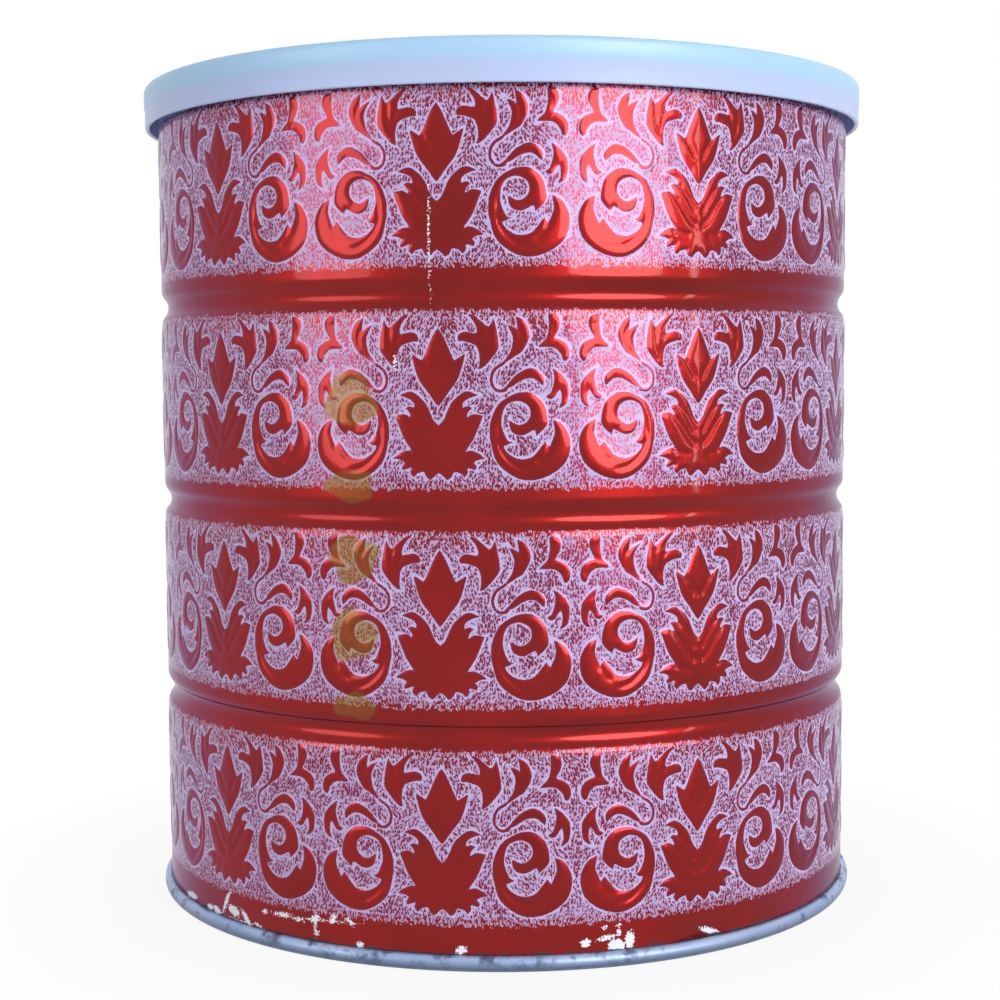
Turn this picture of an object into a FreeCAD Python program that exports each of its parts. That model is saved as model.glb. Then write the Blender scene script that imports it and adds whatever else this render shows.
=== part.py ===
"""Round steel coffee can with a plastic overcap.

The can stands on its lower double seam, centred on the Z axis with its foot at z = 0. It is three
turned pieces: the shut can, the pressed bottom end with the double seam that it is rolled into,
and the press-on lid. All sizes are millimetres.
"""

import FreeCAD, Part
import os

import Sketcher

SIZES = [
    ("body_radius", 76.95, "outer radius of the can's wall"),
    ("can_height", 176.4, "foot of the lower seam to the top of the upper seam"),
    ("wall_thickness", 0.25, "tinplate of the wall"),
    ("seam_overhang", 1.55, "how far a double seam stands out of the wall"),
    ("seam_height", 3.1, "height of a double seam"),
    ("seam_rounding", 0.6, "rounding of a double seam's edges"),
    ("chuck_taper", 0.6, "how far the wall inside a seam leans in"),
    ("top_recess", 2.2, "upper seam down to the face that the lid rests on"),
    ("bead_centre", 45.5, "height of the lowest bead's centre"),
    ("bead_pitch", 42.1, "from one bead to the next"),
    ("bead_depth", 1.65, "depth of a bead before its floor is rounded"),
    ("bead_half_width", 3.2, "half the height of a bead"),
    ("bead_floor_rounding", 1.2, "radius in the floor of a bead"),
    ("bead_shoulder_rounding", 2.0, "radius where a bead meets the wall"),
    ("end_thickness", 0.3, "tinplate of the bottom end"),
    ("countersink_depth", 3.8, "foot of the can up to the channel in the bottom end"),
    ("channel_width", 3.2, "width of the channel in the bottom end"),
    ("panel_drop", 0.9, "channel down to the bottom end's outer panel"),
    ("step_radius", 54.0, "radius of the bottom end's inner panel"),
    ("step_drop", 0.6, "outer panel down to the inner panel"),
    ("step_slope", 0.8, "width of each slope between two panels"),
    ("lid_wall", 1.15, "thickness of the lid"),
    ("lid_clearance", 0.35, "gap between the lid and the seam's sides"),
    ("rim_clearance", 0.1, "gap between the lid and the seam's top"),
    ("skirt_height", 8.8, "height of the lid"),
    ("lid_rounding", 1.1, "rounding of the lid's top edges"),
    ("skirt_rounding", 0.4, "rounding of the skirt's lower edges"),
    ("snap_depth", 0.7, "how far the snap ridge stands into the skirt"),
    ("snap_clearance", 0.2, "gap between the snap ridge and the seam above it"),
    ("snap_lead", 0.7, "height of the snap ridge's upper slope"),
    ("snap_ramp", 1.2, "height of the snap ridge's lower slope"),
    ("outer_rib_radius", 60.0, "middle of the lid's outer stiffening rib"),
    ("inner_rib_radius", 36.0, "middle of the lid's inner stiffening rib"),
    ("rib_width", 2.4, "width of a stiffening rib"),
    ("rib_top_width", 1.2, "width of the flat on top of a rib"),
    ("rib_height", 0.5, "height of a stiffening rib"),
]
BEADS = 3

# Sizes that follow from the named ones.
SEAM_RADIUS = "(Sizes.body_radius + Sizes.seam_overhang)"
CHUCK_RADIUS = "(Sizes.body_radius - Sizes.wall_thickness - Sizes.end_thickness)"
CHUCK_FLOOR_RADIUS = f"({CHUCK_RADIUS} - Sizes.chuck_taper)"
FOOT_RADIUS = f"({CHUCK_RADIUS} - Sizes.wall_thickness)"
PANEL_TOP = "(Sizes.countersink_depth + Sizes.end_thickness)"
SEAT = "(Sizes.can_height - Sizes.top_recess)"
LID_RADIUS = f"({SEAM_RADIUS} + Sizes.lid_clearance + Sizes.lid_wall)"
SKIRT_INSIDE = f"({SEAM_RADIUS} + Sizes.lid_clearance)"
PLUG_RADIUS = f"({CHUCK_FLOOR_RADIUS} - Sizes.lid_clearance)"
WELL_RADIUS = f"({PLUG_RADIUS} - Sizes.lid_wall)"
# Heights in the lid are counted up from the lower edge of its skirt.
CEILING = "(Sizes.skirt_height - Sizes.lid_wall)"
LID_UNDERSIDE = f"({CEILING} - Sizes.rim_clearance - Sizes.top_recess)"
WELL_FLOOR = f"({LID_UNDERSIDE} + Sizes.lid_wall)"
SNAP_TOP = f"({CEILING} - Sizes.rim_clearance - Sizes.seam_height - Sizes.snap_clearance)"


def make_sheet(document):
    """Spreadsheet of the driving sizes, one alias each."""
    sheet = document.addObject("Spreadsheet::Sheet", "Sizes")
    for row, (alias, value, meaning) in enumerate(SIZES, start=1):
        sheet.set(f"A{row}", meaning)
        sheet.set(f"B{row}", str(value))
        sheet.setAlias(f"B{row}", alias)
    document.recompute()
    return sheet


def make_body(document, label, height="0"):
    """Empty body whose frame stands at the given height on the Z axis."""
    body = document.addObject("PartDesign::Body", label)
    body.Label = label
    body.Placement = FreeCAD.Placement()
    body.setExpression(".Placement.Base.z", height)
    return body


def add_corner(sketch, line, radius, height):
    """Ties the start of a line to a radius and a height, each an expression."""
    if radius == "0":
        sketch.addConstraint(Sketcher.Constraint("PointOnObject", line, 1, -2))
    else:
        value = float(sketch.evalExpression(radius))
        index = sketch.addConstraint(Sketcher.Constraint("DistanceX", -1, 1, line, 1, value))
        sketch.setExpression(f"Constraints[{index}]", radius)
    if height == "0":
        sketch.addConstraint(Sketcher.Constraint("PointOnObject", line, 1, -1))
    else:
        value = float(sketch.evalExpression(height))
        index = sketch.addConstraint(Sketcher.Constraint("DistanceY", -1, 1, line, 1, value))
        sketch.setExpression(f"Constraints[{index}]", height)


def make_sketch(body, name, outlines):
    """Sketch in the body's XZ plane of closed outlines, each a list of (radius, height)."""
    plane = next(p for p in body.Origin.OriginFeatures if p.Role == "XZ_Plane")
    sketch = body.newObject("Sketcher::SketchObject", name)
    sketch.AttachmentSupport = [(plane, "")]
    sketch.MapMode = "FlatFace"
    for corners in outlines:
        points = [
            FreeCAD.Vector(*(float(sketch.evalExpression(place)) for place in corner), 0)
            for corner in corners
        ]
        first = sketch.GeometryCount
        for number, start in enumerate(points):
            end = points[(number + 1) % len(points)]
            sketch.addGeometry(Part.LineSegment(start, end), False)
        for number, (radius, height) in enumerate(corners):
            before = first + (number - 1) % len(corners)
            line = first + number
            sketch.addConstraint(Sketcher.Constraint("Coincident", before, 2, line, 1))
            add_corner(sketch, line, radius, height)
    sketch.Visibility = False
    return sketch


def turn(body, kind, name, sketch):
    """Revolution or Groove of a sketch, the whole way round the Z axis."""
    feature = body.newObject(f"PartDesign::{kind}", name)
    feature.Profile = sketch
    feature.ReferenceAxis = (sketch, ["V_Axis"])
    feature.Angle = 360.0
    feature.Document.recompute()
    return feature


def circle_edges(feature, radius, height):
    """Names of a feature's round edges of one radius at one height, each an expression."""
    radius = float(feature.evalExpression(radius))
    height = float(feature.evalExpression(height))
    found = []
    for number, edge in enumerate(feature.Shape.Edges, start=1):
        if not isinstance(edge.Curve, Part.Circle):
            continue
        near = abs(edge.Curve.Radius - radius) < 1e-4
        if near and abs(edge.Curve.Center.z - height) < 1e-4:
            found.append(f"Edge{number}")
    if not found:
        raise RuntimeError(f"{feature.Label} has no edge of radius {radius} at {height}")
    return found


def round_edges(body, name, size, places):
    """Fillet of one named size on the round edges at the given (radius, height) places."""
    base = body.Tip
    edges = [edge for place in places for edge in circle_edges(base, *place)]
    fillet = body.newObject("PartDesign::Fillet", name)
    fillet.Base = (base, edges)
    fillet.setExpression("Radius", size)
    fillet.Document.recompute()
    return fillet


def make_can_body(document):
    """The shut can: its wall, upper seam and the face inside that seam, with the beads cut in."""
    body = make_body(document, "can_body")
    seam_foot = "(Sizes.can_height - Sizes.seam_height)"
    outline = [
        ("0", PANEL_TOP),
        (FOOT_RADIUS, PANEL_TOP),
        (FOOT_RADIUS, "Sizes.seam_height"),
        ("Sizes.body_radius", "Sizes.seam_height"),
        ("Sizes.body_radius", seam_foot),
        (SEAM_RADIUS, seam_foot),
        (SEAM_RADIUS, "Sizes.can_height"),
        (CHUCK_RADIUS, "Sizes.can_height"),
        (CHUCK_FLOOR_RADIUS, SEAT),
        ("0", SEAT),
    ]
    turn(body, "Revolution", "can_turned", make_sketch(body, "can_outline", [outline]))
    seam_edges = [
        (SEAM_RADIUS, seam_foot),
        (SEAM_RADIUS, "Sizes.can_height"),
        (CHUCK_RADIUS, "Sizes.can_height"),
    ]
    round_edges(body, "upper_seam_rounding", "Sizes.seam_rounding", seam_edges)
    add_beads(body)
    return body


def add_beads(body):
    """Rounded V-shaped beads round the wall, at an even pitch."""
    floor_radius = "(Sizes.body_radius - Sizes.bead_depth)"
    outside = "(Sizes.body_radius + Sizes.bead_depth)"
    lower = "(Sizes.bead_centre - Sizes.bead_half_width)"
    upper = "(Sizes.bead_centre + Sizes.bead_half_width)"
    outline = [
        ("Sizes.body_radius", lower),
        (outside, lower),
        (outside, upper),
        ("Sizes.body_radius", upper),
        (floor_radius, "Sizes.bead_centre"),
    ]
    sketch = make_sketch(body, "bead_outline", [outline])
    bead = turn(body, "Groove", "bead", sketch)
    pattern = body.newObject("PartDesign::LinearPattern", "bead_row")
    pattern.Originals = [bead]
    pattern.Direction = (sketch, ["V_Axis"])
    pattern.Occurrences = BEADS
    pattern.setExpression("Length", f"Sizes.bead_pitch * {BEADS - 1}")
    body.Tip = pattern
    body.Document.recompute()
    steps = [f"Sizes.bead_pitch * {number}" for number in range(BEADS)]
    floors = [(floor_radius, f"Sizes.bead_centre + {step}") for step in steps]
    shoulders = [
        ("Sizes.body_radius", f"{side} + {step}") for step in steps for side in (lower, upper)
    ]
    round_edges(body, "bead_floor_rounding", "Sizes.bead_floor_rounding", floors)
    round_edges(body, "bead_shoulder_rounding", "Sizes.bead_shoulder_rounding", shoulders)


def make_bottom_end(document):
    """Pressed end with the lower double seam, a channel inside it and two shallow panels."""
    body = make_body(document, "bottom_end")
    channel_inside = f"({CHUCK_FLOOR_RADIUS} - Sizes.channel_width)"
    outer_panel = "(Sizes.countersink_depth - Sizes.panel_drop)"
    inner_panel = f"({outer_panel} - Sizes.step_drop)"
    outline = [
        ("0", PANEL_TOP),
        ("0", inner_panel),
        ("Sizes.step_radius", inner_panel),
        ("Sizes.step_radius + Sizes.step_slope", outer_panel),
        (f"{channel_inside} - Sizes.step_slope", outer_panel),
        (channel_inside, "Sizes.countersink_depth"),
        (CHUCK_FLOOR_RADIUS, "Sizes.countersink_depth"),
        (CHUCK_RADIUS, "0"),
        (SEAM_RADIUS, "0"),
        (SEAM_RADIUS, "Sizes.seam_height"),
        (FOOT_RADIUS, "Sizes.seam_height"),
        (FOOT_RADIUS, PANEL_TOP),
    ]
    turn(body, "Revolution", "end_pressed", make_sketch(body, "end_outline", [outline]))
    seam_edges = [(CHUCK_RADIUS, "0"), (SEAM_RADIUS, "0"), (SEAM_RADIUS, "Sizes.seam_height")]
    round_edges(body, "lower_seam_rounding", "Sizes.seam_rounding", seam_edges)
    return body


def make_lid(document):
    """Press-on lid: a well that rests on the can, a rim over the seam and a skirt outside it."""
    height = f"{SEAT} - {LID_UNDERSIDE}"
    body = make_body(document, "lid", height)
    ridge_middle = f"({SNAP_TOP} - Sizes.snap_lead)"
    outline = [
        ("0", LID_UNDERSIDE),
        (PLUG_RADIUS, LID_UNDERSIDE),
        (PLUG_RADIUS, CEILING),
        (SKIRT_INSIDE, CEILING),
        (SKIRT_INSIDE, SNAP_TOP),
        (f"{SKIRT_INSIDE} - Sizes.snap_depth", ridge_middle),
        (SKIRT_INSIDE, f"{ridge_middle} - Sizes.snap_ramp"),
        (SKIRT_INSIDE, "0"),
        (LID_RADIUS, "0"),
        (LID_RADIUS, "Sizes.skirt_height"),
        (WELL_RADIUS, "Sizes.skirt_height"),
        (WELL_RADIUS, WELL_FLOOR),
        ("0", WELL_FLOOR),
    ]
    turn(body, "Revolution", "lid_moulded", make_sketch(body, "lid_outline", [outline]))
    add_ribs(body)
    top_edges = [(LID_RADIUS, "Sizes.skirt_height"), (WELL_RADIUS, "Sizes.skirt_height")]
    round_edges(body, "lid_top_rounding", "Sizes.lid_rounding", top_edges)
    skirt_edges = [(SKIRT_INSIDE, "0"), (LID_RADIUS, "0")]
    round_edges(body, "skirt_rounding", "Sizes.skirt_rounding", skirt_edges)
    return body


def add_ribs(body):
    """Two low ribs round the floor of the lid's well."""
    top = f"({WELL_FLOOR} + Sizes.rib_height)"
    outlines = []
    for middle in ("Sizes.outer_rib_radius", "Sizes.inner_rib_radius"):
        outlines.append(
            [
                (f"{middle} - Sizes.rib_width / 2", WELL_FLOOR),
                (f"{middle} + Sizes.rib_width / 2", WELL_FLOOR),
                (f"{middle} + Sizes.rib_top_width / 2", top),
                (f"{middle} - Sizes.rib_top_width / 2", top),
            ]
        )
    turn(body, "Revolution", "lid_ribs", make_sketch(body, "rib_outlines", outlines))


def check(document, bodies):
    """Stops if anything in the document failed, or a piece isn't one sound solid."""
    for item in document.Objects:
        if {"Invalid", "Error"} & set(item.State):
            raise RuntimeError(f"{item.Label} failed: {item.State}")
    for body in bodies:
        shape = body.Shape
        if shape.isNull() or not shape.isValid() or len(shape.Solids) != 1:
            raise RuntimeError(f"{body.Label} isn't one sound solid")


def main():
    document = FreeCAD.newDocument("CoffeeCan")
    make_sheet(document)
    bodies = [make_can_body(document), make_bottom_end(document), make_lid(document)]
    document.recompute()
    check(document, bodies)
    os.makedirs("parts", exist_ok=True)
    for body in bodies:
        body.Shape.exportStep(f"parts/{body.Label}.step")
        box = body.Shape.BoundBox
        print(f"{body.Label}: {body.Shape.Volume:.1f} mm3, z {box.ZMin:.3f} to {box.ZMax:.3f}")


main()
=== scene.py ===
"""Shut coffee can: an embossed and printed tin wall, a seamed bottom end and a press-on plastic lid.

The wall is made as the real one is: a flat sheet gets its print, its embossed ornament and its
rolled beads, and is then rolled round and joined at the back. Sizes of the ornament are
millimetres on the flat sheet; everything that Blender gets is metres.
"""

import math

import bpy
import numpy as np
from bpy.props import FloatProperty, FloatVectorProperty, PointerProperty
from mathutils import Matrix, Vector


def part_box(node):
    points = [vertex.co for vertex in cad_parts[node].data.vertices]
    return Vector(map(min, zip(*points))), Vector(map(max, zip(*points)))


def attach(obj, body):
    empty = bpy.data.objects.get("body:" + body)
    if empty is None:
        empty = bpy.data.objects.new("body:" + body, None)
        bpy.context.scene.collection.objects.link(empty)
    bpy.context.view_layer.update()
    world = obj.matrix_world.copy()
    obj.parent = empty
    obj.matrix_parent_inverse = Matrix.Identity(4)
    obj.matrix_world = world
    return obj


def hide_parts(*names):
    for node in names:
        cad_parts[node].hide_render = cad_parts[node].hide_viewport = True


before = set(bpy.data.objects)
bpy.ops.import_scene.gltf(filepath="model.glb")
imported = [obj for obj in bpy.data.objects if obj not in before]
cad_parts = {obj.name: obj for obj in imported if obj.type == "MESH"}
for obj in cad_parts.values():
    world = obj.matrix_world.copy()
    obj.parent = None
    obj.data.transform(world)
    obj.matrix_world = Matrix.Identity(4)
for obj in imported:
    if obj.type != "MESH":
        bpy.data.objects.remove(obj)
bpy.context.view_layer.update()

bl_info = {
    "name": "Coffee Can",
    "version": (1, 0, 0),
    "blender": (4, 5, 0),
    "location": "3D View > Sidebar > Coffee Can",
    "description": "Embossed and printed coffee can with a seamed end and a plastic lid",
    "category": "Object",
}

MM = 0.001

# Sizes read from the frame.
END_LOW, END_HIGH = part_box("bottom_end")
CAN_LOW, CAN_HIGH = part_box("can_body")
LID_LOW, LID_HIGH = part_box("lid")
SEAM_RADIUS = min(END_HIGH.x, END_HIGH.y)
SEAM_TOP = CAN_LOW.z
CAN_TOP = CAN_HIGH.z
LID_RADIUS = min(LID_HIGH.x, LID_HIGH.y)

# The flat sheet, in millimetres. Distance along it is measured from the middle of its front.
SEAM_OVERHANG = 1.55
WALL_RADIUS = SEAM_RADIUS / MM - SEAM_OVERHANG
GIRTH = 2 * math.pi * WALL_RADIUS
REPEATS = 9
HALF_UNIT = 25.92
UNIT = 2 * HALF_UNIT
AXIS_PLACE = -12.36
SHEET_START = AXIS_PLACE - REPEATS * HALF_UNIT
SHEET_END = SHEET_START + REPEATS * UNIT
SEAM_STRIP = GIRTH - REPEATS * UNIT
HALF_UNIT_CELLS = 64
SEAM_CELLS = 40
UNIT_COLUMNS = REPEATS * 2 * HALF_UNIT_CELLS
COLUMNS = UNIT_COLUMNS + SEAM_CELLS

# The wall: heights and roundings in millimetres, and how finely it is cut.
BANDS = 4
BAND_PITCH = 42.1
BAND_FOOT = 9.2
BAND_LOW, BAND_HIGH = -1.2, 33.8
BAND_ROWS = 82
BEAD_CENTRE = 45.6
BEAD_SLOPE = math.radians(41)
BEAD_FLOOR_ROUNDING = 2.95
BEAD_SHOULDER_ROUNDING = 2.6
BEAD_ROWS = 26
FOOT_ROWS = 16
CREVICE = 0.75
FAR_OUTSIDE = -9.0
SHEET_WAVES = 14
DENT_DEPTH = 0.85
DENT_PLACE, DENT_HALF_LENGTH = 41.5, 6.5
DENT_HEIGHT, DENT_HALF_HEIGHT = 3.4, 3.3
LAP_START, LAP_RISE = 0.45, 0.28

# Turned pieces, in metres.
SEAM_ROUNDING = 0.0006
CHUCK_INSET = 0.00055
TOP_RECESS = 0.0022
POLE_RADIUS = 0.0005

# Ornament: each outline is a list of strokes that meet in points; a stroke goes on from the end
# of the one before it, and is smooth along its length. Sideways places are measured from the
# middle of a palmette, heights from the lower edge of the band.

BUD = [
    [(0, 30.3), (1.0, 28.8), (2.6, 25.2), (3.1, 24.1)],
    [(4.2, 24.8), (5.25, 25.5)],
    [(4.9, 24.0), (3.8, 20.6), (1.7, 17.7), (0.6, 16.1), (0, 15.5)],
]
BUD_CREASES = [
    (0.26, [(3.0, 24.2), (2.3, 23.1), (1.4, 21.6), (0.3, 19.7)]),
    (0.12, [(4.4, 23.8), (2.8, 20.9), (0.7, 17.6)]),
]
FAN = [
    [(0, 11.9), (1.0, 13.0), (2.4, 16.0), (4.4, 17.9), (5.8, 18.3), (7.8, 17.5)],
    [(6.5, 17.2), (5.25, 16.6), (4.7, 15.9), (4.7, 15.2)],
    [(5.6, 15.5), (6.7, 15.2)],
    [(6.0, 14.7), (5.55, 14.0), (5.4, 13.2)],
    [(6.6, 14.0), (8.6, 13.7)],
    [(8.0, 12.3), (6.9, 9.6), (5.9, 8.0), (5.0, 6.8)],
    [(6.2, 7.1), (7.6, 6.6), (9.1, 5.5)],
    [(8.1, 5.4), (7.3, 5.2), (6.6, 4.7)],
    [(7.2, 4.2), (7.2, 3.4)],
    [(6.7, 3.4), (6.0, 3.7), (5.3, 3.9)],
    [(5.6, 2.9), (4.9, 1.9)],
    [(4.5, 2.4), (4.0, 2.8), (2.9, 3.1)],
    [(2.4, 2.0), (1.5, 1.4)],
    [(1.1, 1.9), (0.6, 2.4), (0, 2.8)],
]
FAN_CREASES = [
    (0.28, [(4.7, 15.8), (3.3, 14.1), (1.9, 12.0), (1.0, 10.4), (0.5, 9.6)]),
    (0.30, [(5.3, 13.2), (3.7, 11.1), (2.2, 9.0), (1.0, 7.9), (0, 7.5)]),
    (0.22, [(5.0, 6.4), (3.4, 6.0), (2.4, 5.9), (1.6, 6.1)]),
    (0.12, [(5.4, 5.1), (3.4, 4.9), (1.6, 5.1)]),
    (0.10, [(6.4, 17.9), (4.6, 16.9), (3.0, 14.9)]),
]
ACANTHUS = [
    [(3.7, 28.4), (4.1, 29.1), (5.0, 29.5), (6.1, 29.4), (7.4, 29.1)],
    [(7.3, 30.4), (6.5, 31.8), (5.1, 33.1)],
    [(6.7, 32.7), (7.9, 31.8), (9.6, 30.3)],
    [(10.2, 31.2), (10.65, 32.3)],
    [(11.3, 29.1), (11.5, 27.4), (11.3, 25.9), (9.0, 23.1), (7.4, 22.2)],
    [(7.8, 23.1), (7.9, 24.5), (7.7, 25.9), (7.0, 27.0), (4.9, 27.7), (4.0, 27.7), (3.7, 28.4)],
]
ACANTHUS_CREASES = [
    (0.26, [(9.6, 30.2), (9.5, 28.2), (9.1, 25.8), (8.4, 23.6)]),
    (0.22, [(7.4, 29.2), (8.2, 27.4), (8.4, 25.4), (8.1, 23.6)]),
    (0.12, [(6.0, 32.4), (7.6, 31.0), (8.8, 29.4)]),
    (0.12, [(4.4, 28.6), (6.2, 28.6), (7.6, 27.8)]),
]
LEAF = [
    [(12.4, 31.3), (13.4, 30.2), (14.2, 28.3), (13.8, 25.9), (12.9, 24.5), (12.0, 23.3)],
    [(13.1, 23.8), (14.7, 24.9), (16.1, 25.9), (17.4, 28.8), (16.5, 31.3), (14.7, 32.5)],
    [(15.0, 30.9), (15.1, 29.7)],
    [(14.4, 30.3), (12.4, 31.3)],
]
LEAF_CREASES = [
    (0.24, [(13.0, 23.9), (15.2, 26.2), (15.8, 28.4), (15.4, 31.2)]),
    (0.12, [(14.1, 25.6), (14.7, 27.8), (13.9, 30.0)]),
]
CANE = [
    (12.4, 23.5), (11.1, 22.7), (10.4, 21.8), (10.1, 20.75),
    (10.2, 19.7), (10.7, 18.8), (11.5, 18.3), (12.8, 18.4),
]
CRESCENT = [
    [(11.9, 18.4), (13.1, 19.5), (14.3, 20.9), (15.75, 22.0), (17.4, 22.6), (18.8, 22.2),
     (19.9, 21.1), (20.1, 20.0), (19.8, 19.1)],
    [(19.1, 19.9), (18.1, 20.6), (16.8, 20.6), (15.4, 20.0), (14.0, 19.1), (11.9, 18.4)],
]
CRESCENT_CREASES = [(0.14, [(13.4, 19.1), (15.3, 20.7), (17.4, 21.4), (19.2, 20.5)])]
HOOK = [
    [(21.5, 22.8), (22.7, 22.0), (24.0, 20.75), (24.8, 19.1), (24.5, 16.1), (22.6, 14.7)],
    [(23.3, 16.1), (23.4, 17.4), (23.2, 18.6)],
    [(22.7, 18.1), (22.0, 17.0), (21.1, 16.7), (20.2, 17.4)],
    [(21.3, 17.9), (22.0, 20.2), (21.9, 21.6), (21.5, 22.8)],
]
HOOK_CREASES = [
    (0.16, [(22.0, 22.2), (23.5, 20.0), (24.0, 17.6), (23.6, 15.6)]),
    (0.14, [(22.9, 20.2), (22.3, 18.4), (21.0, 17.3)]),
]
SPRIG = [
    [(20.9, 32.9), (22.0, 32.8), (22.9, 32.2), (23.2, 31.1), (22.9, 29.9), (22.0, 28.3)],
    [(23.25, 27.9), (24.3, 27.2), (24.9, 26.1), (24.9, 24.7), (24.2, 23.8), (23.6, 24.2),
     (23.4, 25.0), (22.7, 25.9), (21.6, 26.5), (18.7, 26.5)],
    [(19.7, 27.4), (20.6, 28.4), (21.0, 30.5), (20.9, 32.9)],
]
SPRIG_CREASES = [
    (0.18, [(20.2, 27.0), (21.6, 28.4), (22.0, 30.2), (21.9, 32.0)]),
    (0.16, [(21.4, 27.4), (23.4, 26.6), (24.2, 24.8)]),
]
SCROLL = [
    [(9.7, 9.5), (9.9, 12.6), (11.5, 15.9), (14.3, 17.7), (16.1, 18.1), (17.9, 17.8),
     (20.0, 15.9), (20.75, 12.8), (20.3, 11.4), (18.4, 9.6)],
    [(18.5, 10.3), (18.2, 11.0)],
    [(16.6, 10.1), (15.6, 9.9), (14.5, 10.2), (13.7, 11.0), (13.25, 13.0)],
    [(14.9, 12.0), (15.9, 12.0), (16.8, 12.55), (17.4, 13.5), (17.4, 14.6), (16.8, 15.7),
     (14.9, 16.4), (12.7, 15.3), (12.0, 12.0), (13.1, 9.1), (14.3, 8.6)],
    [(13.1, 8.1), (12.3, 8.05)],
    [(12.7, 7.1), (13.8, 6.1), (15.2, 5.5), (16.6, 5.5), (18.1, 6.1), (20.3, 8.8)],
    [(21.0, 7.6)],
    [(22.0, 10.0), (22.0, 11.4), (21.6, 13.1)],
    [(23.8, 11.75), (25.1, 8.9), (24.5, 5.3), (22.0, 2.8), (18.25, 1.4), (14.7, 1.9),
     (11.1, 4.8), (9.7, 9.5)],
]
SCROLL_CREASES = [
    (0.34, [(12.1, 13.6), (11.6, 11.0), (11.5, 8.8), (12.4, 6.5), (13.9, 4.8), (15.8, 3.7),
            (18.6, 3.2)]),
    (0.16, [(14.0, 11.9), (15.7, 10.9), (17.6, 11.9)]),
    (0.16, [(21.4, 9.4), (20.9, 7.3), (19.7, 5.5), (18.0, 4.5)]),
]
MIRRORED_MOTIFS = [(BUD, BUD_CREASES), (FAN, FAN_CREASES)]
MOTIFS = [
    (ACANTHUS, ACANTHUS_CREASES),
    (LEAF, LEAF_CREASES),
    (CRESCENT, CRESCENT_CREASES),
    (HOOK, HOOK_CREASES),
    (SPRIG, SPRIG_CREASES),
    (SCROLL, SCROLL_CREASES),
]

# Wear, in millimetres on the sheet: place along it, height, half length, half width, slant.
CHIPS = [
    (-82.0, 3.9, 3.0, 0.7, 5), (-72.2, 3.7, 1.4, 0.7, 10), (-69.2, 3.7, 1.5, 0.8, -20),
    (-65.5, 6.4, 2.8, 0.5, 60), (-62.7, 5.1, 2.0, 0.95, -10), (-58.5, 4.3, 2.1, 0.6, -43),
    (-63.6, 3.3, 4.2, 0.2, 2), (-54.8, 3.5, 1.1, 0.35, -15), (-52.8, 6.9, 0.6, 0.5, 0),
    (-47.8, 7.1, 2.3, 0.45, 3), (-43.9, 6.8, 1.2, 0.3, 0), (-39.6, 7.6, 1.3, 0.7, 30),
    (-35.3, 8.1, 1.0, 0.6, 60), (-38.2, 7.4, 3.9, 0.15, 3), (-39.6, 6.2, 1.7, 0.25, 88),
    (-39.2, 4.8, 0.5, 0.4, 0), (-31.5, 7.9, 1.0, 0.4, -35), (-29.4, 3.6, 0.8, 0.6, 0),
    (-8.8, 4.0, 1.1, 0.8, 20), (15.4, 5.0, 1.0, 0.8, 0), (21.6, 3.9, 1.7, 1.4, 0),
    (24.4, 4.8, 0.9, 1.8, 0), (19.6, 5.7, 1.6, 0.5, 8), (19.3, 7.8, 0.5, 0.35, 0),
    (22.1, 8.0, 0.4, 0.3, 0), (22.1, 6.6, 0.45, 0.6, 0), (43.2, 3.9, 2.7, 0.6, -22),
    (-13.9, 140.3, 5.3, 0.15, 90), (-20.8, 117.2, 1.1, 0.3, 90),
]
STAINS = [
    (-30.2, 110.0, 5.4, 5.2), (-30.4, 93.5, 5.2, 3.2), (-30.0, 79.5, 5.2, 4.6),
    (-30.2, 64.5, 5.0, 5.0), (-30.0, 50.7, 4.6, 2.6),
]
BACK_CHIPS = 26
BACK_CHIP_SEED = 11
FRONT_REACH = 105


# ---------------------------------------------------------------- shapes on the flat sheet


def smooth_run(points, steps=6):
    """Points along a smooth curve through the given ones."""
    points = np.array(points, float)
    if len(points) == 2:
        return points
    ends = [2 * points[0] - points[1]], [2 * points[-1] - points[-2]]
    padded = np.vstack([ends[0], points, ends[1]])
    share = np.linspace(0, 1, steps, endpoint=False)[:, None]
    runs = []
    for a, b, c, d in zip(padded, padded[1:], padded[2:], padded[3:]):
        cubic = (3 * b - a - 3 * c + d) * share**3 + (2 * a - 5 * b + 4 * c - d) * share**2
        runs.append(b + ((c - a) * share + cubic) / 2)
    return np.vstack(runs + [points[-1:]])


def outline(strokes, mirror=False):
    """Closed outline of smooth strokes, mirrored about the palmette's axis if asked."""
    runs, last = [], None
    for stroke in strokes:
        run = smooth_run(stroke if last is None else [last, *stroke])
        runs.append(run if last is None else run[1:])
        last = tuple(run[-1])
    line = np.vstack(runs)
    if mirror:
        line = np.vstack([line, line[::-1] * (-1, 1)])
    return line


def distance_to(line, places, closed=False):
    """Distance from each place to a line of points, and how far along the line that is."""
    start = line if closed else line[:-1]
    along = (np.roll(line, -1, 0) if closed else line[1:]) - start
    length = np.maximum((along**2).sum(1), 1e-12)
    offset = places[:, None] - start
    share = np.clip((offset * along).sum(2) / length, 0, 1)
    away = ((offset - share[..., None] * along) ** 2).sum(2)
    nearest = away.argmin(1)
    every = np.arange(len(places))
    run = (nearest + share[every, nearest]) / len(start)
    return np.sqrt(away[every, nearest]), run


def is_inside(line, places):
    """Whether each place lies inside a closed line."""
    (x0, y0), (x1, y1) = line.T, np.roll(line, -1, 0).T
    x, y = places[:, :1], places[:, 1:]
    crosses = (y0 > y) != (y1 > y)
    rise = np.where(y1 == y0, 1, y1 - y0)
    return (crosses & (x < x0 + (y - y0) * (x1 - x0) / rise)).sum(1) % 2 == 1


def smooth_step(value):
    """0 below 0, 1 above 1 and smooth between."""
    value = np.clip(value, 0, 1)
    return value * value * (3 - 2 * value)


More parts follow.
